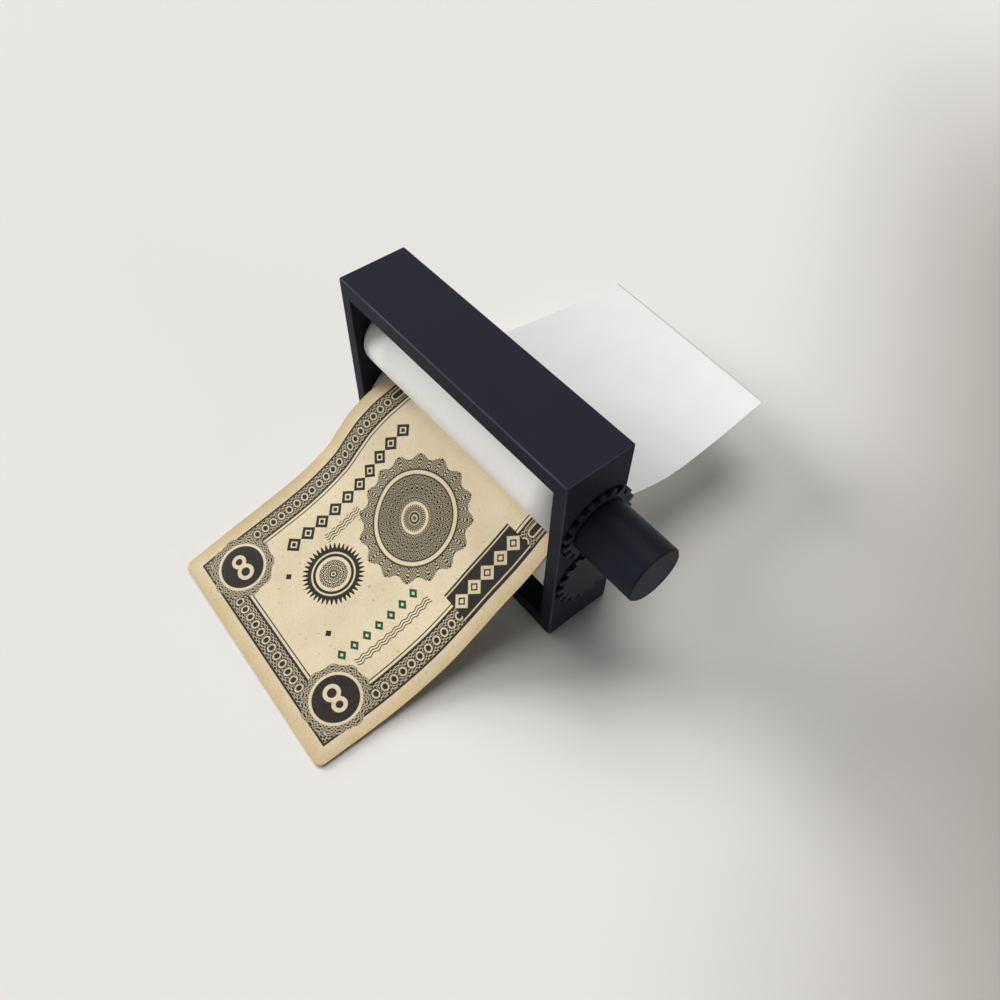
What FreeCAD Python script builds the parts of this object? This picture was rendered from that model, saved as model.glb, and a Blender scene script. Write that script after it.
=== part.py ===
# A hand-cranked money printing magic machine, in millimetres.
# The origin is the middle of the frame's underside. X runs along the rolls to the knob,
# Y runs from the front, where the note comes out, to the back, and Z is up.
import FreeCAD
import Part
import math
import os

Vector = FreeCAD.Vector

# Frame
frame_width = 80.0
frame_depth = 18.8
frame_height = 59.0
rail_height = 4.7
wall_thickness = 3.8
frame_edge_radius = 0.5
window_edge_chamfer = 0.25

# The pair of rolls: their axes lie behind the middle of the frame
roll_setback = 1.3
nip_height = frame_height / 2
core_radius = 8.4
core_wall = 1.2
upper_winding = 0.8
lower_winding = 0.2
nip_gap = 1.1

# Gears: their module comes from the rolls, which they hold the nip gap apart
tooth_count = 18
gear_module = (2 * core_radius + upper_winding + lower_winding + nip_gap) / tooth_count
pressure_angle = math.radians(20)
tooth_addendum = 0.65
tooth_dedendum = 1.0
tooth_thinning = 0.10
gear_thickness = 3.1
gear_cover = 0.6
gear_hub_radius = 3.2
gear_proud = 0.7
pocket_floor_gap = 0.15
pocket_tip_gap = 0.15

# Shafts, bushes and the plugs that hold each core
shaft_radius = 1.5
running_clearance = 0.05
bush_wall = 0.95
blind_hole_depth = 2.6
blind_hole_end_gap = 0.2
plug_length = 5.0
plug_proud = 0.2
end_float = 0.2

# Knob
knob_radius = 7.25
knob_length = 16.6
knob_edge_chamfer = 0.4
knob_gear_gap = 0.3
knob_shell = 1.6
knob_hub_radius = 3.2
knob_shaft_grip = 9.0

# Strip and sheets
strip_thickness = 0.2
strip_inset = 0.2
strip_clearance = 0.15
crossing_wrap = math.radians(12)
# The slack lap of strip round the front of the lower roll: turns from +Y, and how far it stands off the roll there
slack_turns = [math.radians(turn) for turn in (125, 148, 172, 198, 225, 250, 274, 292)]
slack_heights = [0.0, 0.15, 0.8, 1.25, 1.25, 0.8, 0.15, 0.0]
sheet_thickness = 0.2

# Edges of the printed note, from the rolls to its far end: y, and the height as a share of the nip's
note_left_edge = [(-6.0, 0.936), (-10.7, 0.888), (-16.0, 0.790), (-20.0, 0.664), (-25.0, 0.508),
                  (-35.0, 0.353), (-52.0, 0.193), (-69.3, 0.034)]
note_right_edge = [(-4.4, 0.922), (-8.0, 0.810), (-13.0, 0.678), (-20.0, 0.532), (-27.0, 0.369),
                   (-37.0, 0.180), (-52.0, 0.054), (-71.5, 0.017)]
note_left_x = (-32.7, -33.3)
note_right_x = (33.6, 33.0)
note_corner_radius = 1.5

# Edges of the blank paper, from the rolls to its far end, in the same way
paper_left_edge = [(9.0, 0.990), (20.0, 0.868), (36.0, 0.685), (60.0, 0.536), (83.5, 0.454)]
paper_right_edge = [(9.0, 0.986), (20.0, 0.841), (36.0, 0.675), (52.0, 0.685), (71.5, 0.773)]
paper_left_x = (-33.1, -34.5)
paper_right_x = (33.1, 31.8)

# Places worked out from the sizes above
wall_inner = frame_width / 2 - wall_thickness
wall_outer = frame_width / 2
pitch_radius = gear_module * tooth_count / 2
tip_radius = pitch_radius + tooth_addendum
upper_axis_height = nip_height + pitch_radius
lower_axis_height = nip_height - pitch_radius
upper_roll_radius = core_radius + upper_winding
lower_roll_radius = core_radius + lower_winding
gear_outer = wall_outer + gear_proud
gear_inner = gear_outer - gear_thickness
pocket_floor = gear_inner - pocket_floor_gap
bush_bore = shaft_radius + running_clearance
bush_radius = bush_bore + bush_wall
roll_half = wall_inner - end_float
core_half = roll_half - plug_proud
strip_half = core_half - strip_inset
shaft_left = -(wall_inner + blind_hole_depth - 2 * blind_hole_end_gap)
knob_inner = gear_outer + knob_gear_gap
knob_outer = knob_inner + knob_length


def rod(radius, start, end, height):
    """A cylinder along X between two places, on the roll axis at this height."""
    return Part.makeCylinder(radius, end - start, Vector(start, roll_setback, height), Vector(1, 0, 0))


def tube(outer, inner, start, end, height):
    return rod(outer, start, end, height).cut(rod(inner, start - 1, end + 1, height))


def frame():
    """The moulded frame: four walls round the window, bush holes and the pocket for the gears."""
    body = Part.makeBox(frame_width, frame_depth, frame_height,
                        Vector(-frame_width / 2, -frame_depth / 2, 0))
    body = body.makeFillet(frame_edge_radius, body.Edges)
    window = Part.makeBox(2 * wall_inner, frame_depth + 2, frame_height - 2 * rail_height,
                          Vector(-wall_inner, -frame_depth / 2 - 1, rail_height))
    body = body.cut(window)
    faces = (-frame_depth / 2, frame_depth / 2)
    mouths = [edge for edge in body.Edges
              if any(all(abs(v.Y - face) < 1e-6 for v in edge.Vertexes) for face in faces)
              and all(abs(v.X) < wall_inner + 1e-6 for v in edge.Vertexes)
              and all(rail_height - 1e-6 < v.Z < frame_height - rail_height + 1e-6 for v in edge.Vertexes)]
    body = body.makeChamfer(window_edge_chamfer, mouths)
    for height in (upper_axis_height, lower_axis_height):
        body = body.cut(rod(tip_radius + pocket_tip_gap, pocket_floor, wall_outer + 1, height))
        body = body.cut(rod(bush_radius, wall_inner - 1, pocket_floor + 1, height))
        body = body.cut(rod(bush_radius, -wall_inner - blind_hole_depth, -wall_inner + 1, height))
    return body


def bush(start, end, height):
    """A plain sleeve pressed into a side wall, flush with its inner face."""
    return tube(bush_radius, bush_bore, start, end, height)


def plug(start, end, height):
    """A disc pressed into one end of a core and onto the shaft."""
    return tube(core_radius - core_wall, shaft_radius, start, end, height)


def involute(base, radius):
    """Angle that an involute from this base circle has turned through at a radius."""
    reach = math.sqrt(max((radius / base) ** 2 - 1, 0))
    return reach - math.atan(reach)


def polar(radius, angle, height):
    """A point in the plane x = 0, its angle measured from +Y towards +Z about a roll axis."""
    return Vector(0, roll_setback + radius * math.cos(angle), height + radius * math.sin(angle))


def gear(height, first_tooth):
    """An involute spur gear, its first tooth centred on an angle."""
    base = pitch_radius * math.cos(pressure_angle)
    root = pitch_radius - tooth_dedendum
    half_tooth = math.pi / (2 * tooth_count) - tooth_thinning / (2 * pitch_radius)
    flank_start = half_tooth + involute(base, pitch_radius)
    flank_radii = [base, (base + tip_radius) / 2, tip_radius]
    pitch = 2 * math.pi / tooth_count
    edges = []
    for tooth in range(tooth_count):
        middle = first_tooth + tooth * pitch
        rising = [polar(r, middle - flank_start + involute(base, r), height) for r in flank_radii]
        falling = [polar(r, middle + flank_start - involute(base, r), height) for r in reversed(flank_radii)]
        foot = polar(root, middle - flank_start, height)
        next_foot = polar(root, middle + flank_start, height)
        next_rise = polar(root, middle + pitch - flank_start, height)
        edges.append(Part.makeLine(foot, rising[0]))
        edges.append(Part.Arc(*rising).toShape())
        edges.append(Part.Arc(rising[-1], polar(tip_radius, middle, height), falling[0]).toShape())
        edges.append(Part.Arc(*falling).toShape())
        edges.append(Part.makeLine(falling[-1], next_foot))
        edges.append(Part.Arc(next_foot, polar(root, middle + pitch / 2, height), next_rise).toShape())
    outline = Part.Wire(edges)
    outline.translate(Vector(gear_inner, 0, 0))
    body = Part.Face(outline).extrude(Vector(gear_thickness, 0, 0))
    return body.cut(rod(shaft_radius, gear_inner - 1, gear_outer + 1, height))


def upper_gear():
    """The driving gear, with a hub that carries the knob clear of the frame."""
    body = gear(upper_axis_height, -math.pi / 2)
    return body.fuse(tube(gear_hub_radius, shaft_radius, gear_outer, knob_inner, upper_axis_height))


def lower_gear():
    """The driven gear, with a closed outer face over the end of its shaft."""
    body = gear(lower_axis_height, math.pi / 2 + math.pi / tooth_count)
    return body.fuse(rod(shaft_radius, gear_outer - gear_cover, gear_outer, lower_axis_height)).removeSplitter()


def knob():
    """The plain cylindrical knob: a cup with a hub in it for the shaft."""
    height = upper_axis_height
    outside = rod(knob_radius, knob_inner, knob_outer, height)
    outer_rim = [edge for edge in outside.Edges
                 if len(edge.Vertexes) == 1 and edge.Vertexes[0].X > knob_outer - 1e-6]
    outside = outside.makeChamfer(knob_edge_chamfer, outer_rim)
    hollow = tube(knob_radius - knob_shell, knob_hub_radius, knob_inner - 1, knob_outer - knob_shell, height)
    return outside.cut(hollow).cut(rod(shaft_radius, knob_inner - 1, knob_inner + knob_shaft_grip, height))


def strip_crossing():
    """The strip from the back of the upper roll, between the rolls, and slack round the front of the lower one."""
    upper = upper_roll_radius + strip_clearance + strip_thickness / 2
    lower = lower_roll_radius + strip_clearance + strip_thickness / 2
    tilt = math.acos((upper + lower) / (2 * pitch_radius))
    down = -math.pi / 2 + tilt
    up = math.pi / 2 + tilt
    sides = []
    for offset in (-strip_thickness / 2, strip_thickness / 2):
        near, far = upper + offset, lower - offset
        leaves = polar(near, down, upper_axis_height)
        lands = polar(far, up, lower_axis_height)
        on_upper = Part.Arc(polar(near, down + crossing_wrap, upper_axis_height),
                            polar(near, down + crossing_wrap / 2, upper_axis_height), leaves).toShape()
        lap = [lands] + [polar(far + slack, turn, lower_axis_height)
                         for turn, slack in zip(slack_turns, slack_heights)]
        arcs = [Part.Arc(*lap[k:k + 3]).toShape() for k in range(0, len(lap) - 1, 2)]
        sides.append([on_upper, Part.makeLine(leaves, lands)] + arcs)
    first, second = sides
    start = Part.makeLine(first[0].Vertexes[0].Point, second[0].Vertexes[0].Point)
    finish = Part.makeLine(first[-1].Vertexes[1].Point, second[-1].Vertexes[1].Point)
    outline = Part.Wire(Part.__sortEdges__(first + second + [start, finish]))
    outline.translate(Vector(-strip_half, 0, 0))
    return Part.Face(outline).extrude(Vector(2 * strip_half, 0, 0))


def nip_line(side):
    """Two points, and the slope, of the middle of a sheet that lies against the strip between the rolls.

    The side is -1 for the note, over the strip and out to the front, and 1 for the paper under it.
    """
    upper = upper_roll_radius + strip_clearance + strip_thickness / 2
    lower = lower_roll_radius + strip_clearance + strip_thickness / 2
    tilt = math.acos((upper + lower) / (2 * pitch_radius))
    strip_middle = upper_axis_height - 2 * pitch_radius * upper / (upper + lower)
    if side < 0:
        roll_face = upper_axis_height - upper_roll_radius
        middle = (roll_face + strip_middle + strip_thickness / 2) / 2
    else:
        roll_face = lower_axis_height + lower_roll_radius
        middle = (roll_face + strip_middle - strip_thickness / 2) / 2
    slope = math.tan(tilt)
    return [(roll_setback + run, middle + slope * run) for run in (side * 0.2, side * 2.5)]


def sheet(side, left_edge, right_edge, left_x, right_x):
    """A thin sheet between two edges, each a chain of arcs through its points, starting between the rolls."""
    chains = []
    for points, (near_x, far_x) in ((left_edge, left_x), (right_edge, right_x)):
        route = nip_line(side) + [(y, share * nip_height) for y, share in points]
        length = route[-1][0] - route[0][0]
        path = [Vector(near_x + (far_x - near_x) * (y - route[0][0]) / length, y, z - sheet_thickness / 2)
                for y, z in route]
        curve = Part.BSplineCurve()
        curve.interpolate(path)
        places = [curve.parameter(point) for point in path]
        chains.append([Part.Arc(path[k], curve.value((places[k] + places[k + 1]) / 2), path[k + 1]).toShape()
                       for k in range(1, len(path) - 1)])
        chains[-1].insert(0, Part.makeLine(path[0], path[1]))
    panels = [Part.makeRuledSurface(left, right).extrude(Vector(0, 0, sheet_thickness))
              for left, right in zip(*chains)]
    return panels[0].fuse(panels[1:])


def corner_cutter(corner, along_end, along_side):
    """What is cut away to round a sheet's corner, seen from above, over the sheet's whole height."""
    end = Vector(along_end.x - corner.x, along_end.y - corner.y, 0).normalize()
    side = Vector(along_side.x - corner.x, along_side.y - corner.y, 0).normalize()
    ground = Vector(corner.x, corner.y, -1)
    centre = ground + (end + side) * note_corner_radius
    outside = ground - (end + side) * note_corner_radius
    nearest = centre + (ground - centre).normalize() * note_corner_radius
    on_end = ground + end * note_corner_radius
    on_side = ground + side * note_corner_radius
    outline = Part.Wire([Part.makeLine(outside, on_end),
                         Part.Arc(on_end, nearest, on_side).toShape(),
                         Part.makeLine(on_side, outside)])
    return Part.Face(outline).extrude(Vector(0, 0, frame_height))


def banknote():
    """The printed note, rounded at its two far corners."""
    body = sheet(-1, note_left_edge, note_right_edge, note_left_x, note_right_x)
    left = Vector(note_left_x[1], note_left_edge[-1][0], 0)
    right = Vector(note_right_x[1], note_right_edge[-1][0], 0)
    left_back = Vector(note_left_x[1], note_left_edge[-2][0], 0)
    right_back = Vector(note_right_x[1], note_right_edge[-2][0], 0)
    body = body.cut(corner_cutter(left, right, left_back))
    return body.cut(corner_cutter(right, left, right_back))


def blank_paper():
    return sheet(1, paper_left_edge, paper_right_edge, paper_left_x, paper_right_x)


def roller(name, height, roll_radius, shaft_right):
    """One roller's shaft, core, end plugs and wound strip, and the bushes that it turns in."""
    return {
        name + "_shaft": rod(shaft_radius, shaft_left, shaft_right, height),
        name + "_core": tube(core_radius, core_radius - core_wall, -core_half, core_half, height),
        name + "_left_plug": plug(-roll_half, plug_length - roll_half, height),
        name + "_right_plug": plug(roll_half - plug_length, roll_half, height),
        name + "_wound_strip": tube(roll_radius, core_radius, -strip_half, strip_half, height),
        name + "_left_bush": bush(blind_hole_end_gap - blind_hole_depth - wall_inner, -wall_inner, height),
        name + "_right_bush": bush(wall_inner, pocket_floor, height),
    }


nodes = {"frame": frame(), "knob": knob(), "upper_gear": upper_gear(), "lower_gear": lower_gear()}
nodes.update(roller("upper", upper_axis_height, upper_roll_radius, knob_inner + knob_shaft_grip))
nodes.update(roller("lower", lower_axis_height, lower_roll_radius, gear_outer - gear_cover))
nodes["strip_crossing"] = strip_crossing()
nodes["banknote"] = banknote()
nodes["blank_paper"] = blank_paper()

os.makedirs("parts", exist_ok=True)
for node, shape in nodes.items():
    if len(shape.Solids) == 1:
        shape = shape.Solids[0]
    print(node, "solids", len(shape.Solids), "valid", shape.isValid(), "volume", round(shape.Volume, 2))
    shape.exportStep("parts/" + node + ".step")
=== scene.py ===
# Money printing magic machine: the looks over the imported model.
# Blender works in metres here; the settings are in millimetres, and the studio's in metres.
# +X runs to the knob, +Y to the blank paper and +Z up.
import bpy
import bmesh
import math
from mathutils import Euler, Matrix, Vector


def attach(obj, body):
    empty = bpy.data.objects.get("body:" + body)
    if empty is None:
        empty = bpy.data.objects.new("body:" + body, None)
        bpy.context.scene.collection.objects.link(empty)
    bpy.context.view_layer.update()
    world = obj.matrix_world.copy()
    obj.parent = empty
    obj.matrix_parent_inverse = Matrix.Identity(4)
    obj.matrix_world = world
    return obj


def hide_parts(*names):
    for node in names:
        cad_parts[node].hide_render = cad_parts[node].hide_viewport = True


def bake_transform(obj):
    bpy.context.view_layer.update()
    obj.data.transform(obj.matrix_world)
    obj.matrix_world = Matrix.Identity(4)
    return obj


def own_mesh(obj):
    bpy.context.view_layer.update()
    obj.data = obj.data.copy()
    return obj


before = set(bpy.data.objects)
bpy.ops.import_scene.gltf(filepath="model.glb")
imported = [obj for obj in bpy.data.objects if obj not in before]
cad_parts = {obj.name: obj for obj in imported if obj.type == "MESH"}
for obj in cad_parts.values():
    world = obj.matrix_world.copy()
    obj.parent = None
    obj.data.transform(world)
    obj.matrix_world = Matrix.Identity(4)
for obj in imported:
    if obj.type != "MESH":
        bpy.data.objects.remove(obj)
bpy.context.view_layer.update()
scene = bpy.context.scene
mm = 0.001
flatUnit = 100.0  # mm in one unit of a sheet's flat UV
print("frame loaded:", len(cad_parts), "nodes")


def linearColour(code):  # "#RRGGBB" as the shader wants it
    parts = [int(code[k:k + 2], 16) / 255 for k in (1, 3, 5)]
    return (*[c / 12.92 if c < 0.0405 else ((c + 0.055) / 1.055) ** 2.4 for c in parts], 1)


def newMaterial(name):
    material = bpy.data.materials.new(name)
    material.use_nodes = True
    material.node_tree.nodes.clear()
    return material


def addNode(material, kind, links=None, **settings):  # links: socket name or number to a value or socket
    node = material.node_tree.nodes.new("ShaderNode" + kind)
    for key, value in settings.items():
        setattr(node, key, value)
    for key, value in (links or {}).items():
        if isinstance(value, bpy.types.NodeSocket):
            material.node_tree.links.new(value, node.inputs[key])
        else:
            node.inputs[key].default_value = value
    return node.outputs


def finishMaterial(material, **inputs):  # one Principled shader and its output
    links = {key.replace("_", " "): value for key, value in inputs.items()}
    shader = addNode(material, "BsdfPrincipled", links)[0]
    addNode(material, "OutputMaterial", {"Surface": shader})
    return material


def mouldedPlastic(name, look):
    # ABS moulded against a spark-eroded steel: fine grain, soft gloss, faint rubbed patches
    material = newMaterial(name)
    place = addNode(material, "TexCoord")["Object"]
    grain = addNode(material, "TexNoise", {"Vector": place, "Scale": 1 / (look["grain"] * mm),
                                           "Detail": 3.0})["Fac"]
    rubbed = addNode(material, "TexNoise", {"Vector": place, "Scale": 1 / (look["patch"] * mm), "Detail": 4.0,
                                            "Roughness": 0.65})["Fac"]
    colour = addNode(material, "ValToRGB", {"Fac": rubbed})
    ramp = material.node_tree.nodes[-1].color_ramp
    ramp.elements[0].color, ramp.elements[1].color = linearColour(look["dark"]), linearColour(look["light"])
    ramp.elements[0].position, ramp.elements[1].position = 0.3, 0.75
    rough = addNode(material, "MapRange", {"Value": rubbed, "From Min": 0.3, "From Max": 0.7,
                                           "To Min": look["rough"][0], "To Max": look["rough"][1]})["Result"]
    bump = addNode(material, "Bump", {"Height": grain, "Strength": look["bump"],
                                      "Distance": 0.02 * mm})["Normal"]
    tone = colour["Color"]
    if "wearAndHighlight" in look:  # edges paler, as wear and a painted highlight, and rubbed smoother: where two of the box's sides are near
        wearAndHighlight = look["wearAndHighlight"]
        centre, half = ([size * mm for size in corner] for corner in wearAndHighlight["box"])
        inward = addNode(material, "VectorMath", {0: place, 1: centre}, operation="SUBTRACT")[0]
        inward = addNode(material, "VectorMath", {0: inward}, operation="ABSOLUTE")[0]
        inward = addNode(material, "VectorMath", {0: half, 1: inward}, operation="SUBTRACT")[0]
        x, y, z = addNode(material, "SeparateXYZ", {0: inward})
        nearer = addNode(material, "Math", {0: x, 1: y}, operation="MINIMUM")[0]
        farther = addNode(material, "Math", {0: x, 1: y}, operation="MAXIMUM")[0]
        second = addNode(material, "Math", {0: farther, 1: z}, operation="MINIMUM")[0]
        second = addNode(material, "Math", {0: nearer, 1: second}, operation="MAXIMUM")[0]
        full, none = wearAndHighlight["reach"]
        wornAndLit = addNode(material, "MapRange", {"Value": second, "From Min": full * mm, "From Max": none * mm,
                                              "To Min": 1.0, "To Max": 0.0})["Result"]
        low, high, least = wearAndHighlight["patches"]
        patchy = addNode(material, "MapRange", {"Value": rubbed, "From Min": low, "From Max": high,
                                                "To Min": least, "To Max": 1.0})["Result"]
        wornAndLit = addNode(material, "Math", {0: wornAndLit, 1: patchy}, operation="MULTIPLY")[0]
        # the paler edge tone is partly wear and partly a painted highlight along the edges
        tone = addNode(material, "Mix", {0: wornAndLit, 6: tone, 7: linearColour(wearAndHighlight["tone"])},
                       data_type="RGBA")[2]
        rough = addNode(material, "Mix", {0: wornAndLit, 2: rough, 3: wearAndHighlight["rough"]})[0]
    return finishMaterial(material, Base_Color=tone, Roughness=rough, Normal=bump, IOR=1.53,
                          Specular_IOR_Level=look["gloss"])


plasticLooks = {  # edge wear with a painted highlight: how near an edge it is full and ends, and how the patches leave it weaker
    "moulded black ABS": {
        "dark": "#20212A", "light": "#24252D", "grain": 0.3, "patch": 14.0, "rough": (0.5, 0.56),
        "bump": 0.35, "gloss": 0.05,
        "wearAndHighlight": {"tone": "#4E5058", "rough": 0.3, "reach": (0.12, 0.45), "patches": (0.35, 0.6, 0.45),
                 "box": ((0, 0, 29.5), (40.0, 9.4, 29.5))}},
    "smooth black ABS": {
        "dark": "#191C24", "light": "#1E2129", "grain": 0.35, "patch": 9.0, "rough": (0.4, 0.46), "bump": 0.2,
        "gloss": 0.05},
    "black acetal": {
        "dark": "#17181F", "light": "#1D1E26", "grain": 0.2, "patch": 4.0, "rough": (0.5, 0.6), "bump": 0.25,
        "gloss": 0.2},
    "white moulded ABS": {
        "dark": "#C9C8C2", "light": "#D9D8D3", "grain": 0.3, "patch": 6.0, "rough": (0.42, 0.5), "bump": 0.25,
        "gloss": 0.5},
}
plastics = {name: mouldedPlastic(name, look) for name, look in plasticLooks.items()}


steelLook = {"tone": "#B9B9BC", "line": (25.0, 0.25, 0.25), "rough": (0.22, 0.42)}  # line: along and across


def drawnSteel():
    # bright drawn steel rod: fine lines along it, which stretch its highlights
    look = steelLook
    material = newMaterial("drawn steel")
    place = addNode(material, "TexCoord")["Object"]
    scale = [1 / (size * mm) for size in look["line"]]
    stretched = addNode(material, "Mapping", {"Vector": place, "Scale": scale})["Vector"]
    lines = addNode(material, "TexNoise", {"Vector": stretched, "Scale": 1.0, "Detail": 2.0})["Fac"]
    rough = addNode(material, "MapRange", {"Value": lines, "To Min": look["rough"][0],
                                           "To Max": look["rough"][1]})["Result"]
    bump = addNode(material, "Bump", {"Height": lines, "Strength": 0.3, "Distance": 0.01 * mm})["Normal"]
    return finishMaterial(material, Base_Color=linearColour(look["tone"]), Metallic=1.0, Roughness=rough,
                          Normal=bump)


# streaks: how many to a flat unit, across and along
vinylLook = {"dark": "#E8E7E3", "light": "#F0EFEC", "streaks": (90.0, 6.0, 1.0), "pit": 0.5, "rough": 0.48}


def vinylStrip():
    # smooth white vinyl film: calendered, so nearly plain, with soft gloss and faint lengthwise streaks
    look = vinylLook
    material = newMaterial("white vinyl film")
    place = addNode(material, "UVMap", uv_map="flat")["UV"]
    stretched = addNode(material, "Mapping", {"Vector": place, "Scale": look["streaks"]})["Vector"]
    streaks = addNode(material, "TexNoise", {"Vector": stretched, "Scale": 1.0, "Detail": 3.0})["Fac"]
    tone = addNode(material, "ValToRGB", {"Fac": streaks})
    ramp = material.node_tree.nodes[-1].color_ramp
    ramp.elements[0].color, ramp.elements[1].color = linearColour(look["dark"]), linearColour(look["light"])
    solid = addNode(material, "TexCoord")["Object"]
    pits = addNode(material, "TexNoise", {"Vector": solid, "Scale": 1 / (look["pit"] * mm),
                                          "Detail": 2.0})["Fac"]
    bump = addNode(material, "Bump", {"Height": pits, "Strength": 0.12, "Distance": 0.02 * mm})["Normal"]
    return finishMaterial(material, Base_Color=tone["Color"], Roughness=look["rough"], Normal=bump, IOR=1.5)


paperLook = {"dark": "#DDDDDB", "light": "#E9E9E7", "fibre": 0.45, "cloud": 9.0, "rough": 0.82}


def plainPaper():
    # uncoated white paper, matte: its fibres are drawn coarser than they are, so that they show
    look = paperLook
    material = newMaterial("uncoated white paper")
    place = addNode(material, "UVMap", uv_map="flat")["UV"]
    fibres = addNode(material, "TexNoise", {"Vector": place, "Scale": flatUnit / look["fibre"], "Detail": 5.0,
                                            "Roughness": 0.6, "Distortion": 1.2})["Fac"]
    clouds = addNode(material, "TexNoise", {"Vector": place, "Scale": flatUnit / look["cloud"],
                                            "Detail": 3.0})["Fac"]
    both = addNode(material, "Math", {0: fibres, 1: clouds}, operation="ADD")[0]
    both = addNode(material, "MapRange", {"Value": both, "From Max": 2.0})["Result"]
    tone = addNode(material, "ValToRGB", {"Fac": both})
    ramp = material.node_tree.nodes[-1].color_ramp
    ramp.elements[0].color, ramp.elements[1].color = linearColour(look["dark"]), linearColour(look["light"])
    bump = addNode(material, "Bump", {"Height": fibres, "Strength": 0.35, "Distance": 0.03 * mm})["Normal"]
    return finishMaterial(material, Base_Color=tone["Color"], Roughness=look["rough"], Normal=bump, IOR=1.47)


steel, vinyl, paperWhite = drawnSteel(), vinylStrip(), plainPaper()
print("plain materials ready:", len(bpy.data.materials))

# The printed note's layout, in mm: across from its left edge, along from its far end
noteLayout = {
    "width": 66.3, "length": 78.8, "plainFrom": 71.5,
    "band": {"span": (3.5, 9.0), "hem": 0.55, "sway": 0.675, "pitch": 5.6, "line": 0.82,
             "ink": (0.5, 0.85), "cut": 0.68},
    "bead": {"pitch": 5.2, "squeeze": (0.95, 0.8, 0.0), "halo": 1.2, "ring": (0.6, 0.95), "cut": 0.85},
    "rule": (0.6, 0.9),  # beyond the band
    "lozenge": {"pitch": 4.6, "heart": 0.7, "ring": (1.2, 2.3)},
    "chain": {"across": 15.4, "along": (23.0, 69.0)},
    "ribbon": {"across": (53.6, 62.4), "along": (46.0, 69.0), "hem": (0.5, 0.85), "cut": 0.9},
    "fine": {"pitch": 0.75, "sway": 0.22, "wave": 2.4166, "line": (0.2, 0.6),
             "rows": [(51.2, 1.15, 20.0, 43.0), (20.2, 1.15, 32.5, 44.0)]},  # across, half width, from, to
    "marks": {"size": 0.95, "places": [(21.5, 19.5), (40.5, 19.0), (51.2, 17.0)]},
    # each rosette: rings gap mm apart, swayed at its rim; field, rings and heart are shares of the radius
    "medallion": {"centre": (34.0, 53.4), "radius": 15.4, "petals": 16, "gap": 0.95, "sway": 2.2,
                  "line": (0.4, 0.7), "field": (0.24, 0.7), "fieldCut": 0.45, "petalInk": (0.32, 0.68),
                  "paleRings": [(0.735, 0.55), (0.24, 0.35)], "darkRings": [(0.69, 0.2), (0.78, 0.2)]},
    "badge": {"centre": (28.8, 28.6), "radius": 7.4, "petals": 8, "gap": 0.7, "sway": 1.3,
              "line": (0.1, 0.45), "ring": (0.62, 0.93), "cut": (0.72, 0.78), "heart": 0.5,
              "teeth": {"petals": 40, "sway": 2.0}, "toothed": (0.86, 1.2)},
    "corner": {"centre": (11.2, 11.6), "radius": 8.2, "petals": 10, "gap": 0.8, "sway": 0.9,
               "line": (0.1, 0.45), "cut": 0.55, "ring": (0.69, 0.77), "stroke": 0.5,
               "loops": [(-1.65, 1.4), (1.7, 1.65)]},  # the numeral's: how far aside, and radius
    "greenRow": {"across": 47.2, "along": (16.65, 42.55), "pitch": 3.7, "stretch": 1.3, "ring": (0.55, 1.6)},
    # edge: how far in it is browner and how much; specks: from, to and their strength
    "stock": {"pale": "#EDE2C4", "brown": "#CBB487", "stain": 11.0, "fibre": 0.4, "speck": 1.1,
              "mottle": 0.46, "edge": (5.0, 0.36), "specks": (0.68, 0.78, 0.55)},
    "ink": "#1B1713", "green": "#175236",
}


def waveOf(material, value, pitch):  # from -1 to 1 and back once every pitch
    swell = addNode(material, "Math", {0: value, 1: 2 * math.pi / pitch}, operation="MULTIPLY")[0]
    return addNode(material, "Math", {0: swell}, operation="SINE")[0]


def awayFrom(material, value, middle):
    off = addNode(material, "Math", {0: value, 1: middle}, operation="SUBTRACT")[0]
    return addNode(material, "Math", {0: off}, operation="ABSOLUTE")[0]


def stepBetween(material, value, low, high, soft=0.08):  # 1 where low < value < high
    half = (high - low) / 2
    away = awayFrom(material, value, (low + high) / 2)
    return addNode(material, "MapRange", {"Value": away, "From Min": half - soft, "From Max": half + soft,
                                          "To Min": 1.0, "To Max": 0.0})["Result"]


def stepBelow(material, value, high, soft=0.08):  # 1 where value < high
    return addNode(material, "MapRange", {"Value": value, "From Min": high - soft, "From Max": high + soft,
                                          "To Min": 1.0, "To Max": 0.0})["Result"]


def inkRosette(material, across, along, rose):
    # engraved rings that swell into petals: two sets swayed opposite ways, thin where "line" is high
    radius = rose["radius"]
    dx = addNode(material, "Math", {0: across, 1: rose["centre"][0]}, operation="SUBTRACT")[0]
    dy = addNode(material, "Math", {0: along, 1: rose["centre"][1]}, operation="SUBTRACT")[0]
    far = addNode(material, "CombineXYZ", {0: dx, 1: dy})[0]
    far = addNode(material, "VectorMath", {0: far}, operation="LENGTH")[1]
    turn = addNode(material, "Math", {0: dy, 1: dx}, operation="ARCTAN2")[0]
    petal = waveOf(material, turn, 2 * math.pi / rose["petals"])
    reach = addNode(material, "Math", {0: far, 1: rose["sway"] / radius}, operation="MULTIPLY")[0]
    swing = addNode(material, "Math", {0: petal, 1: reach}, operation="MULTIPLY")[0]
    lines = []
    low, high = rose["line"]
    for side in (-1.0, 1.0):
        swayed = addNode(material, "Math", {0: swing, 1: side, 2: far}, operation="MULTIPLY_ADD")[0]
        ring = waveOf(material, swayed, rose["gap"])
        lines.append(addNode(material, "MapRange", {"Value": ring, "From Min": low,
                                                    "From Max": high})["Result"])
    mesh = addNode(material, "Math", {0: lines[0], 1: lines[1]}, operation="MAXIMUM")[0]
    rim = addNode(material, "Math", {0: swing, 1: 0.35, 2: far}, operation="MULTIPLY_ADD")[0]  # scalloped
    return mesh, stepBelow(material, rim, radius, 0.1), far


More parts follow.
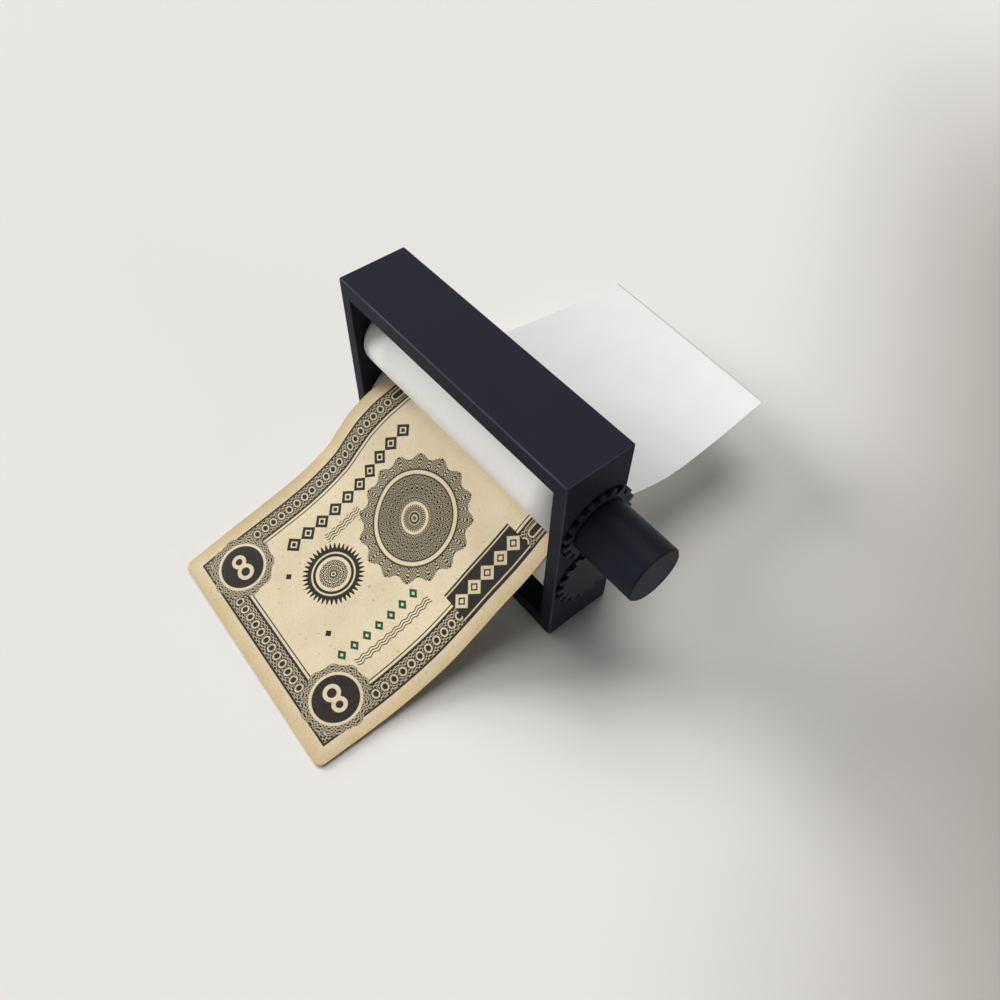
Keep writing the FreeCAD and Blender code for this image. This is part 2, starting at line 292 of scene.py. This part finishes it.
def printedNote():
    # engraved print on cream cotton paper: raised dark ink, a green second colour, mottled stock
    look = noteLayout
    material = newMaterial("engraved print on cream cotton paper")
    sheet = addNode(material, "UVMap", uv_map="flat")["UV"]
    inMm = addNode(material, "VectorMath", {0: sheet, "Scale": flatUnit}, operation="SCALE")[0]
    across, along, _ = addNode(material, "SeparateXYZ", {0: inMm})
    fromMiddle = awayFrom(material, across, look["width"] / 2)
    fromSide = addNode(material, "Math", {0: look["width"] / 2, 1: fromMiddle}, operation="SUBTRACT")[0]
    fromEdge = addNode(material, "Math", {0: fromSide, 1: along}, operation="MINIMUM")[0]
    onSide = addNode(material, "Math", {0: fromSide, 1: along}, operation="LESS_THAN")[0]
    run = addNode(material, "Mix", {0: onSide, 2: fromMiddle, 3: along})[0]
    held = addNode(material, "Math", {0: run, 1: look["plainFrom"]}, operation="MINIMUM")[0]

    # border: a dark band with two swayed sets of pale lines
    band = look["band"]
    sway = waveOf(material, held, band["pitch"])
    lines = []
    low, high = band["ink"]
    for side in (-1.0, 1.0):
        swayed = addNode(material, "Math", {0: sway, 1: side * band["sway"], 2: fromEdge},
                         operation="MULTIPLY_ADD")[0]
        wave = waveOf(material, swayed, band["line"])
        lines.append(addNode(material, "MapRange", {"Value": wave, "From Min": low,
                                                    "From Max": high})["Result"])
    pale = addNode(material, "Math", {0: lines[0], 1: lines[1]}, operation="MAXIMUM")[0]
    low, high = band["span"]
    core = stepBetween(material, fromEdge, low + band["hem"], high - band["hem"])
    cut = addNode(material, "Math", {0: pale, 1: core}, operation="MULTIPLY")[0]
    whole = stepBetween(material, fromEdge, low, high)
    ink = addNode(material, "Math", {0: cut, 1: -band["cut"], 2: whole}, operation="MULTIPLY_ADD")[0]

    # a row of beads along the band, and a thin rule beyond it
    bead = look["bead"]
    beat = addNode(material, "Math", {0: held, 1: bead["pitch"] / 2}, operation="PINGPONG")[0]
    beat = awayFrom(material, beat, bead["pitch"] / 4)
    offBand = addNode(material, "Math", {0: fromEdge, 1: (low + high) / 2}, operation="SUBTRACT")[0]
    fromBead = addNode(material, "CombineXYZ", {0: beat, 1: offBand})[0]
    fromBead = addNode(material, "VectorMath", {0: fromBead, 1: bead["squeeze"]}, operation="MULTIPLY")[0]
    fromBead = addNode(material, "VectorMath", {0: fromBead}, operation="LENGTH")[1]
    halo = stepBelow(material, fromBead, bead["halo"])
    ring = stepBetween(material, fromBead, *bead["ring"])
    ink = addNode(material, "Math", {0: ink, 1: halo}, operation="MAXIMUM")[0]
    ink = addNode(material, "Math", {0: ring, 1: -bead["cut"], 2: ink}, operation="MULTIPLY_ADD")[0]
    rule = stepBetween(material, fromEdge, high + look["rule"][0], high + look["rule"][1], 0.05)
    ink = addNode(material, "Math", {0: ink, 1: rule}, operation="MAXIMUM", use_clamp=True)[0]

    # a chain of lozenges beside the left band, and a dark ribbon of pale ones over the right band
    lozenge, chain, ribbon = look["lozenge"], look["chain"], look["ribbon"]
    left, right = ribbon["across"]
    step = addNode(material, "Math", {0: along, 1: lozenge["pitch"]}, operation="PINGPONG")[0]
    step = awayFrom(material, step, lozenge["pitch"] / 2)
    asides = [awayFrom(material, across, middle) for middle in (chain["across"], (left + right) / 2)]
    rows = []
    for aside in asides:
        spread = addNode(material, "Math", {0: aside, 1: step}, operation="ADD")[0]
        outer = stepBetween(material, spread, *lozenge["ring"])
        heart = stepBelow(material, spread, lozenge["heart"])
        rows.append(addNode(material, "Math", {0: outer, 1: heart}, operation="MAXIMUM")[0])
    chainRun = stepBetween(material, along, *chain["along"])
    chainInk = addNode(material, "Math", {0: rows[0], 1: chainRun}, operation="MULTIPLY")[0]
    ink = addNode(material, "Math", {0: ink, 1: chainInk}, operation="MAXIMUM")[0]
    ribbonRun = stepBetween(material, along, *ribbon["along"])
    onRibbon = addNode(material, "Math", {0: stepBetween(material, across, left, right), 1: ribbonRun},
                       operation="MULTIPLY")[0]
    near, off = ribbon["hem"]
    hem = stepBetween(material, asides[1], (right - left) / 2 - off, (right - left) / 2 - near)
    cut = addNode(material, "Math", {0: rows[1], 1: hem}, operation="MAXIMUM")[0]
    ribbonInk = addNode(material, "Math", {0: cut, 1: -ribbon["cut"], 2: 1.0}, operation="MULTIPLY_ADD")[0]
    ink = addNode(material, "Mix", {0: onRibbon, 2: ink, 3: ribbonInk})[0]

    # fine waved lines and small lozenge marks on the open field
    fine, marks = look["fine"], look["marks"]
    ripple = waveOf(material, along, fine["wave"])
    waved = addNode(material, "Math", {0: ripple, 1: fine["sway"], 2: across}, operation="MULTIPLY_ADD")[0]
    waved = waveOf(material, waved, fine["pitch"])
    low, high = fine["line"]
    fineLine = addNode(material, "MapRange", {"Value": waved, "From Min": low, "From Max": high})["Result"]
    for middle, half, start, end in fine["rows"]:
        row = stepBetween(material, across, middle - half, middle + half)
        box = addNode(material, "Math", {0: row, 1: stepBetween(material, along, start, end)},
                      operation="MULTIPLY")[0]
        fineInk = addNode(material, "Math", {0: fineLine, 1: box}, operation="MULTIPLY")[0]
        ink = addNode(material, "Math", {0: ink, 1: fineInk}, operation="MAXIMUM")[0]
    for x, y in marks["places"]:
        aside, beyond = awayFrom(material, across, x), awayFrom(material, along, y)
        spread = addNode(material, "Math", {0: aside, 1: beyond}, operation="ADD")[0]
        mark = stepBelow(material, spread, marks["size"])
        ink = addNode(material, "Math", {0: ink, 1: mark}, operation="MAXIMUM")[0]

    # the large medallion near the rolls: petals, a pale ring, a dark field of pale rings and a pale heart
    rose = look["medallion"]
    size = rose["radius"]
    rings, disc, far = inkRosette(material, across, along, rose)
    field = stepBetween(material, far, size * rose["field"][0], size * rose["field"][1])
    fieldInk = addNode(material, "Math", {0: rings, 1: -rose["fieldCut"], 2: 1.0},
                       operation="MULTIPLY_ADD")[0]
    least, more = rose["petalInk"]
    petals = addNode(material, "Math", {0: rings, 1: more, 2: least}, operation="MULTIPLY_ADD")[0]
    dense = addNode(material, "Mix", {0: field, 2: petals, 3: fieldInk})[0]
    for share, wide in rose["paleRings"]:
        paleRing = stepBetween(material, far, size * share - wide, size * share + wide)
        dense = addNode(material, "Math", {0: dense, 1: paleRing}, operation="SUBTRACT", use_clamp=True)[0]
    for share, wide in rose["darkRings"]:
        darkRing = stepBetween(material, far, size * share - wide, size * share + wide)
        dense = addNode(material, "Math", {0: dense, 1: darkRing}, operation="MAXIMUM")[0]
    ink = addNode(material, "Mix", {0: disc, 2: ink, 3: dense})[0]

    # the small badge: a toothed dark ring, cut by a pale one, round a small rosette
    rose = look["badge"]
    size = rose["radius"]
    rings, _, far = inkRosette(material, across, along, rose)
    badge = stepBetween(material, far, size * rose["ring"][0], size * rose["ring"][1])
    cut = stepBetween(material, far, size * rose["cut"][0], size * rose["cut"][1])
    badge = addNode(material, "Math", {0: badge, 1: cut}, operation="SUBTRACT", use_clamp=True)[0]
    heart = stepBelow(material, far, size * rose["heart"])
    heart = addNode(material, "Math", {0: rings, 1: heart}, operation="MULTIPLY")[0]
    badge = addNode(material, "Math", {0: badge, 1: heart}, operation="MAXIMUM")[0]
    _, teeth, _ = inkRosette(material, across, along, {**rose, **rose["teeth"]})
    rim = stepBetween(material, far, size * rose["toothed"][0], size * rose["toothed"][1])
    toothed = addNode(material, "Math", {0: teeth, 1: rim}, operation="MULTIPLY")[0]
    badge = addNode(material, "Math", {0: badge, 1: toothed}, operation="MAXIMUM")[0]
    ink = addNode(material, "Mix", {0: teeth, 2: ink, 3: badge})[0]

    # rosettes at both far corners, each with a dark field and the pale numeral 8
    rose = look["corner"]
    size = rose["radius"]
    rings, disc, far = inkRosette(material, fromSide, along, rose)
    corner = addNode(material, "Math", {0: rings, 1: -rose["cut"], 2: 1.0}, operation="MULTIPLY_ADD")[0]
    inner, outer = (size * share for share in rose["ring"])
    paleRing = stepBetween(material, far, inner, outer)
    corner = addNode(material, "Math", {0: corner, 1: paleRing}, operation="SUBTRACT", use_clamp=True)[0]
    field = stepBelow(material, far, inner)
    corner = addNode(material, "Math", {0: corner, 1: field}, operation="MAXIMUM")[0]
    x, y = rose["centre"]
    beyond = addNode(material, "Math", {0: along, 1: y}, operation="SUBTRACT")[0]
    for offset, loop in rose["loops"]:
        aside = addNode(material, "Math", {0: fromSide, 1: x + offset}, operation="SUBTRACT")[0]
        reach = addNode(material, "CombineXYZ", {0: aside, 1: beyond})[0]
        reach = addNode(material, "VectorMath", {0: reach}, operation="LENGTH")[1]
        stroke = stepBetween(material, reach, loop - rose["stroke"], loop + rose["stroke"])
        corner = addNode(material, "Math", {0: corner, 1: stroke}, operation="SUBTRACT", use_clamp=True)[0]
    ink = addNode(material, "Mix", {0: disc, 2: ink, 3: corner})[0]

    # the green row of hollow lozenges
    row = look["greenRow"]
    beat = addNode(material, "Math", {0: along, 1: row["pitch"] / 2}, operation="PINGPONG")[0]
    aside = awayFrom(material, across, row["across"])
    spread = addNode(material, "Math", {0: beat, 1: row["stretch"], 2: aside}, operation="MULTIPLY_ADD")[0]
    jewels = stepBetween(material, spread, *row["ring"])
    green = addNode(material, "Math", {0: jewels, 1: stepBetween(material, along, *row["along"])},
                    operation="MULTIPLY")[0]

    # the stock: cream with small specks, browner and thumbed towards its edges
    stock = look["stock"]
    stain = addNode(material, "TexNoise", {"Vector": sheet, "Scale": flatUnit / stock["stain"], "Detail": 5.0,
                                           "Roughness": 0.6})["Fac"]
    fibre = addNode(material, "TexNoise", {"Vector": sheet, "Scale": flatUnit / stock["fibre"], "Detail": 4.0,
                                           "Distortion": 1.0})["Fac"]  # drawn coarse enough to show
    wide, most = stock["edge"]
    edgeTone = addNode(material, "MapRange", {"Value": fromEdge, "From Max": wide, "To Min": most,
                                              "To Max": 0.0})["Result"]
    specks = addNode(material, "TexNoise", {"Vector": sheet, "Scale": flatUnit / stock["speck"],
                                            "Detail": 1.0})["Fac"]
    low, high, most = stock["specks"]
    specks = addNode(material, "MapRange", {"Value": specks, "From Min": low, "From Max": high,
                                            "To Max": most})["Result"]
    seen = stepBetween(material, along, -1.0, look["plainFrom"] - 4, 2.0)  # none where the note is drawn long
    specks = addNode(material, "Math", {0: specks, 1: seen}, operation="MULTIPLY")[0]
    mottle = addNode(material, "Math", {0: stain, 1: fibre}, operation="ADD")[0]
    mottle = addNode(material, "Math", {0: mottle, 1: stock["mottle"]}, operation="MULTIPLY")[0]
    aged = addNode(material, "Math", {0: mottle, 1: edgeTone}, operation="ADD")[0]
    aged = addNode(material, "Math", {0: aged, 1: specks}, operation="ADD", use_clamp=True)[0]
    plain = addNode(material, "ValToRGB", {"Fac": aged})["Color"]
    ramp = material.node_tree.nodes[-1].color_ramp
    ramp.elements[0].color, ramp.elements[0].position = linearColour(stock["pale"]), 0.25
    ramp.elements[1].color, ramp.elements[1].position = linearColour(stock["brown"]), 0.85

    # the inks lie over the stock, a little broken by its fibres
    broken = addNode(material, "MapRange", {"Value": fibre, "From Min": 0.3, "From Max": 0.55, "To Min": 0.97,
                                            "To Max": 1.0})["Result"]
    inked = addNode(material, "Math", {0: ink, 1: broken}, operation="MULTIPLY", use_clamp=True)[0]
    printed = addNode(material, "Mix", {0: inked, 6: plain, 7: linearColour(look["ink"])},
                      data_type="RGBA")[2]
    greened = addNode(material, "Math", {0: green, 1: broken}, operation="MULTIPLY")[0]
    printed = addNode(material, "Mix", {0: greened, 6: printed, 7: linearColour(look["green"])},
                      data_type="RGBA")[2]
    relief = addNode(material, "Math", {0: inked, 1: 0.5, 2: fibre}, operation="MULTIPLY_ADD")[0]
    bump = addNode(material, "Bump", {"Height": relief, "Strength": 0.4, "Distance": 0.03 * mm})["Normal"]
    rough = addNode(material, "MapRange", {"Value": inked, "To Min": 0.8, "To Max": 0.62})["Result"]
    return finishMaterial(material, Base_Color=printed, Roughness=rough, Normal=bump, IOR=1.47,
                          Specular_IOR_Level=0.2)


notePrint = printedNote()
print("note print ready:", len(notePrint.node_tree.nodes), "nodes")


def smoothEdge(points, pieces, steps=24):  # evenly spaced points on a smooth line through these
    knots = [Vector(p) for p in points]
    knots = [2 * knots[0] - knots[1]] + knots + [2 * knots[-1] - knots[-2]]
    line = []
    for before, start, end, after in zip(knots, knots[1:], knots[2:], knots[3:]):
        bend = 2 * before - 5 * start + 4 * end - after
        twist = 3 * start - before - 3 * end + after
        for step in range(steps):
            t = step / steps
            line.append(0.5 * (2 * start + (end - before) * t + bend * t * t + twist * t ** 3))
    line.append(knots[-2])
    reach = [0.0]
    for a, b in zip(line, line[1:]):
        reach.append(reach[-1] + (b - a).length)
    even, k = [], 0
    for piece in range(pieces + 1):
        goal = reach[-1] * piece / pieces
        while k < len(line) - 2 and reach[k + 1] < goal:
            k += 1
        even.append(line[k].lerp(line[k + 1], (goal - reach[k]) / (reach[k + 1] - reach[k])))
    return even


def newPiece(name, bm, material, smooth=True):
    mesh = bpy.data.meshes.new(name)
    for face in bm.faces:
        face.smooth = smooth
    bm.to_mesh(mesh)
    bm.free()
    mesh.materials.append(material)
    piece = bpy.data.objects.new(name, mesh)
    scene.collection.objects.link(piece)
    return piece


def flatSheet(across, along, size):  # a grid from -0.5 to 0.5 that keeps its flat place as UV
    bm = bmesh.new()
    flat = bm.loops.layers.uv.new("flat")
    bmesh.ops.create_grid(bm, x_segments=across, y_segments=along, size=0.5)
    for face in bm.faces:
        for loop in face.loops:
            x, y, _ = loop.vert.co
            loop[flat].uv = ((x + 0.5) * size[0] / flatUnit, (y + 0.5) * size[1] / flatUnit)
    return bm


sheetLook = {"thickness": 0.16, "across": 96, "along": 110, "routeSteps": 400}
noteEdges = {  # the two long edges from the nip outwards, as (y, z), and their x at both ends
    "left": [(1.1, 29.5), (-1.2, 28.9), (-6.0, 27.6), (-10.7, 26.2), (-16.0, 23.3), (-20.0, 19.6),
             (-25.0, 15.0), (-35.0, 10.4), (-52.0, 5.7), (-69.3, 1.0)],
    "right": [(1.1, 29.5), (-1.2, 28.9), (-4.4, 27.2), (-8.0, 23.9), (-13.0, 20.0), (-20.0, 15.7),
              (-27.0, 10.9), (-37.0, 5.3), (-52.0, 1.6), (-71.5, 0.5)],
    "leftX": (-32.7, -33.3), "rightX": (33.6, 33.0), "cornerRadius": 1.6,
    "ripple": {"height": 0.22, "fine": 0.12, "flatFrom": 0.86, "fade": 0.2},
}
paperEdges = {
    "left": [(1.5, 28.92), (3.8, 29.5), (9.0, 29.2), (20.0, 25.6), (36.0, 20.2), (60.0, 15.8), (83.5, 13.4)],
    "right": [(1.5, 28.92), (3.8, 29.5), (9.0, 29.1), (20.0, 24.8), (36.0, 19.9), (52.0, 20.2), (71.5, 22.8)],
    "leftX": (-33.1, -34.5), "rightX": (33.1, 31.8), "cornerRadius": 0.3, "size": (66.2, 83.0),
    "ripple": {"height": 0.5, "flatFrom": 0.8, "fade": 0.3},
}


def laySheet(name, edges, size, material, ripple):
    # a flat grid laid over two edge lines: across 0 is the left edge, along 0 is the far end
    look = sheetLook
    steps = look["routeSteps"]
    bm = flatSheet(look["across"], look["along"], size)
    lines = []
    for side, ends in (("left", edges["leftX"]), ("right", edges["rightX"])):
        points = edges[side]
        spread = [(ends[0] + (ends[1] - ends[0]) * (y - points[0][0]) / (points[-1][0] - points[0][0]), y, z)
                  for y, z in points]
        lines.append(smoothEdge(list(reversed(spread)), steps))
    radius = edges["cornerRadius"]
    flat = bm.loops.layers.uv["flat"]
    seats = {}
    for vert in bm.verts:
        u = 0.5 - 0.5 * math.cos(math.pi * (vert.co.x + 0.5))  # closer columns near the edges
        v = vert.co.y + 0.5
        fromSide = min(u, 1 - u) * size[0]
        trim = radius - math.sqrt(max(radius ** 2 - max(radius - fromSide, 0) ** 2, 0))  # rounded far corners
        along = trim + (size[1] - trim) * v
        k = along / size[1] * steps
        low = min(int(k), steps - 1)
        left, right = (line[low].lerp(line[low + 1], k - low) for line in lines)
        place = left.lerp(right, u)
        place.z += ripple(u, along / size[1])
        seats[vert] = (place * mm, (u * size[0] / flatUnit, along / flatUnit))
    for face in bm.faces:
        for loop in face.loops:
            loop[flat].uv = seats[loop.vert][1]
    for vert, (place, _) in seats.items():
        vert.co = place
    bmesh.ops.recalc_face_normals(bm, faces=bm.faces)
    if sum(face.normal.z for face in bm.faces) < 0:
        bmesh.ops.reverse_faces(bm, faces=bm.faces)
    bmesh.ops.solidify(bm, geom=bm.faces, thickness=look["thickness"] * mm)
    return newPiece(name, bm, material)


def noteRipple(u, v):  # faint waves in the handled note, none in the nip and few at its far end
    look = noteEdges["ripple"]
    hold = max(0.0, min(1.0, (look["flatFrom"] - v) / look["fade"])) * min(1, 4 * v + 0.15)
    broad = look["height"] * math.sin(9.5 * u + 5 * v) * math.sin(7.0 * v + 1.0)
    return hold * (broad + look["fine"] * math.sin(21 * u - 9 * v))


def paperRipple(u, v):  # one shallow bow across the paper, none in the nip
    look = paperEdges["ripple"]
    hold = max(0.0, min(1.0, (look["flatFrom"] - v) / look["fade"]))
    return hold * look["height"] * math.sin(math.pi * u) * math.sin(2.6 * v + 0.4)


note = laySheet("printedNote", noteEdges, (noteLayout["width"], noteLayout["length"]), notePrint, noteRipple)
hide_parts("banknote")
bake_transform(note)

paper = laySheet("blankPaper", paperEdges, paperEdges["size"], paperWhite, paperRipple)
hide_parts("blank_paper")
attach(paper, "frame")
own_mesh(paper)
print("sheets laid")

rollLook = {
    "setback": 1.3, "upperHeight": 38.95, "lowerHeight": 20.05, "upperRadius": 9.2, "lowerRadius": 8.6,
    "coreRadius": 8.4, "halfWidth": 35.6, "layer": 0.2, "film": 0.16, "gap": 0.25, "rest": 0.02,
    "stagger": 0.07, "across": 8, "stepsPerTurn": 96,
    "wrap": 34.0, "wrapSteps": 8, "crossSteps": 120, "crossLength": 44.0,
    # the slack film round the lower roll: degrees round it, and how far it stands off
    "slackLap": [(125, 0.0), (148, 0.15), (172, 0.8), (198, 1.25), (225, 1.25), (250, 0.8), (274, 0.15),
                 (292, -0.1)],
}


def windStrip(name, height, outer, start):
    # the wound film: a flat grid rolled up from its outer end inwards
    look = rollLook
    turns = (outer - look["coreRadius"]) / look["layer"]
    length = 2 * math.pi * outer * turns
    bm = flatSheet(look["across"], int(turns * look["stepsPerTurn"]), (2 * look["halfWidth"], length))
    middle = Vector((0, look["setback"] * mm, height * mm))
    for vert in bm.verts:
        turn = (vert.co.y + 0.5) * turns
        radius = (outer - look["layer"] * turn) * mm
        angle = start + 2 * math.pi * turn
        wander = look["stagger"] * math.sin(2.3 * turn + height) * (2 * vert.co.x)
        x = (2 * vert.co.x * (look["halfWidth"] - look["stagger"]) + wander) * mm
        vert.co = middle + Vector((x, radius * math.cos(angle), radius * math.sin(angle)))
    bmesh.ops.recalc_face_normals(bm, faces=bm.faces)
    outward = sum((face.calc_center_median() - middle).dot(face.normal) for face in bm.faces)
    if outward < 0:
        bmesh.ops.reverse_faces(bm, faces=bm.faces)
    bmesh.ops.solidify(bm, geom=bm.faces, thickness=look["film"] * mm)
    return newPiece(name, bm, vinyl)


def crossStrip(name):
    # the film between the rolls: off the upper one, through the nip and slack round the lower one
    look = rollLook
    upper, lower = look["upperRadius"] + look["gap"], look["lowerRadius"] + look["gap"]
    wrap = math.radians(look["wrap"])
    route = []
    for step in range(look["wrapSteps"] + 1):  # lies down onto the upper roll
        share = 1 - step / look["wrapSteps"]
        angle = -math.pi / 2 + tilt + wrap * share
        radius = upper - share ** 2 * (look["gap"] - look["rest"])
        route.append((0, look["setback"] + radius * math.cos(angle),
                      look["upperHeight"] + radius * math.sin(angle)))
    for turn, slack in [(90 + math.degrees(tilt), 0.0)] + look["slackLap"]:
        angle = math.radians(turn)
        route.append((0, look["setback"] + (lower + slack) * math.cos(angle),
                      look["lowerHeight"] + (lower + slack) * math.sin(angle)))
    steps = look["crossSteps"]
    line = smoothEdge(route, steps)
    bm = flatSheet(look["across"], steps, (2 * look["halfWidth"], look["crossLength"]))
    for vert in bm.verts:
        place = line[round((vert.co.y + 0.5) * steps)]
        vert.co = Vector((2 * vert.co.x * look["halfWidth"], place.y, place.z)) * mm
    bmesh.ops.recalc_face_normals(bm, faces=bm.faces)
    bmesh.ops.solidify(bm, geom=bm.faces, thickness=look["film"] * mm)
    return newPiece(name, bm, vinyl)


# the crossing film's lean from upright, where it touches both rolls
tilt = math.acos((rollLook["upperRadius"] + rollLook["lowerRadius"] + 2 * rollLook["gap"])
                 / (rollLook["upperHeight"] - rollLook["lowerHeight"]))
upperFilm = windStrip("upperWoundFilm", rollLook["upperHeight"], rollLook["upperRadius"], tilt - math.pi / 2)
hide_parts("upper_wound_strip")
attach(upperFilm, "upper_roller")
lowerFilm = windStrip("lowerWoundFilm", rollLook["lowerHeight"], rollLook["lowerRadius"], tilt + math.pi / 2)
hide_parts("lower_wound_strip")
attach(lowerFilm, "lower_roller")
crossing = crossStrip("filmCrossing")
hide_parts("strip_crossing")
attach(crossing, "frame")
print("film wound")

finishes = {
    "moulded black ABS": ["frame"],
    "smooth black ABS": ["knob"],
    "black acetal": ["upper_gear", "lower_gear", "upper_left_bush", "upper_right_bush", "lower_left_bush",
                     "lower_right_bush"],
    "white moulded ABS": ["upper_core", "lower_core", "upper_left_plug", "upper_right_plug",
                          "lower_left_plug", "lower_right_plug"],
    "drawn steel": ["upper_shaft", "lower_shaft"],
}
solids = {**plastics, "drawn steel": steel}
for finish, names in finishes.items():
    for name in names:
        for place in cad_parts[name].material_slots:
            place.material = solids[finish]
print("CAD pieces finished")

studio = {  # metres and degrees
    "world": "#F4F5F7", "worldStrength": (0.04, 0.84),  # as a light, as seen
    "lamps": [  # name, direction it comes from, how wide it looks in degrees, strength
        ("lowWindow", (-1.3, -0.5, 0.58), 34.0, 3.05),
        ("highSoftbox", (-0.51, 0.22, 1.35), 46.0, 1.52),
        ("frontFill", (-0.44, -1.16, 0.84), 42.0, 0.42),
        ("sideFill", (1.3, 0.2, 0.1), 30.0, 0.8),
    ],
    "camera": (0.10964, -0.08579, 0.19352), "azimuth": 49.494, "elevation": 53.42, "roll": 1.458,
    "lens": 31.65,
}
floorLook = {  # where the painted shade begins and ends and the floor fades, each from and to, in metres
    "tone": "#EBE9E5", "paintedShade": "#A8A39B", "paintedShadeTowards": (0.85, 0.53, 0.0), "paintedShadeFrom": (0.05, 0.17),
    "paintedShadeTo": (0.18, 0.4), "fade": (0.42, 1.1), "half": 3.0, "drop": 0.0002,
}


def studioFloor():
    # painted card with painted shade: greyer in a patch beyond the knob, where the machine's soft shadow
    # falls; it fades into the pale background far off
    look = floorLook
    material = newMaterial("pale card")
    place = addNode(material, "TexCoord")["Object"]
    along = addNode(material, "VectorMath", {0: place, 1: look["paintedShadeTowards"]}, operation="DOT_PRODUCT")[1]
    far = addNode(material, "VectorMath", {0: place}, operation="LENGTH")[1]
    shares = []
    for value, (start, end) in ((along, look["paintedShadeFrom"]), (far, look["paintedShadeTo"]), (far, look["fade"])):
        shares.append(addNode(material, "MapRange", {"Value": value, "From Min": start, "From Max": end},
                              interpolation_type="SMOOTHSTEP")["Result"])
    onward, beyond, fade = shares
    near = addNode(material, "Math", {0: 1.0, 1: beyond}, operation="SUBTRACT")[0]
    # painted shade: the card's tone greyed beyond the knob
    paintedShade = addNode(material, "Math", {0: onward, 1: near}, operation="MULTIPLY")[0]
    tone = addNode(material, "Mix", {0: paintedShade, 6: linearColour(look["tone"]), 7: linearColour(look["paintedShade"])},
                   data_type="RGBA")[2]
    card = addNode(material, "BsdfPrincipled", {"Base Color": tone, "Roughness": 0.85,
                                                "Specular IOR Level": 0.1})[0]
    clear = addNode(material, "BsdfTransparent")[0]
    seen = addNode(material, "MixShader", {0: fade, 1: card, 2: clear})[0]
    addNode(material, "OutputMaterial", {"Surface": seen})
    bm = bmesh.new()
    bmesh.ops.create_grid(bm, x_segments=1, y_segments=1, size=look["half"])
    bmesh.ops.translate(bm, verts=bm.verts, vec=(0, 0, -look["drop"]))
    return newPiece("studioFloor", bm, material, smooth=False)


studioFloor()
world = bpy.data.worlds.new("softRoom")
world.use_nodes = True
background = world.node_tree.nodes["Background"]
background.inputs["Color"].default_value = linearColour(studio["world"])
ray = addNode(world, "LightPath")  # pale to the camera and in reflections, dim as a light
shown = addNode(world, "Math", {0: ray["Is Camera Ray"], 1: ray["Is Glossy Ray"]}, operation="MAXIMUM")[0]
shown = addNode(world, "Math", {0: shown, 1: ray["Is Transmission Ray"]}, operation="MAXIMUM")[0]
dim, pale = studio["worldStrength"]
glow = addNode(world, "MapRange", {"Value": shown, "To Min": dim, "To Max": pale})["Result"]
world.node_tree.links.new(glow, background.inputs["Strength"])
scene.world = world

for name, away, width, strength in studio["lamps"]:
    lampData = bpy.data.lights.new(name, "SUN")
    lampData.angle, lampData.energy = math.radians(width), strength
    lamp = bpy.data.objects.new(name, lampData)
    lamp.rotation_euler = Vector(away).to_track_quat("Z", "Y").to_euler()
    scene.collection.objects.link(lamp)

cameraData = bpy.data.cameras.new("photoCamera")
cameraData.lens, cameraData.sensor_width, cameraData.clip_start = studio["lens"], 36.0, 0.005
camera = bpy.data.objects.new("photoCamera", cameraData)
turn = Euler((math.radians(90 - studio["elevation"]), 0, math.radians(studio["azimuth"]))).to_matrix()
camera.rotation_euler = (turn @ Matrix.Rotation(math.radians(studio["roll"]), 3, "Z")).to_euler()
camera.location = studio["camera"]
scene.collection.objects.link(camera)
scene.camera = camera
scene.view_settings.view_transform = "Standard"
print("studio set")
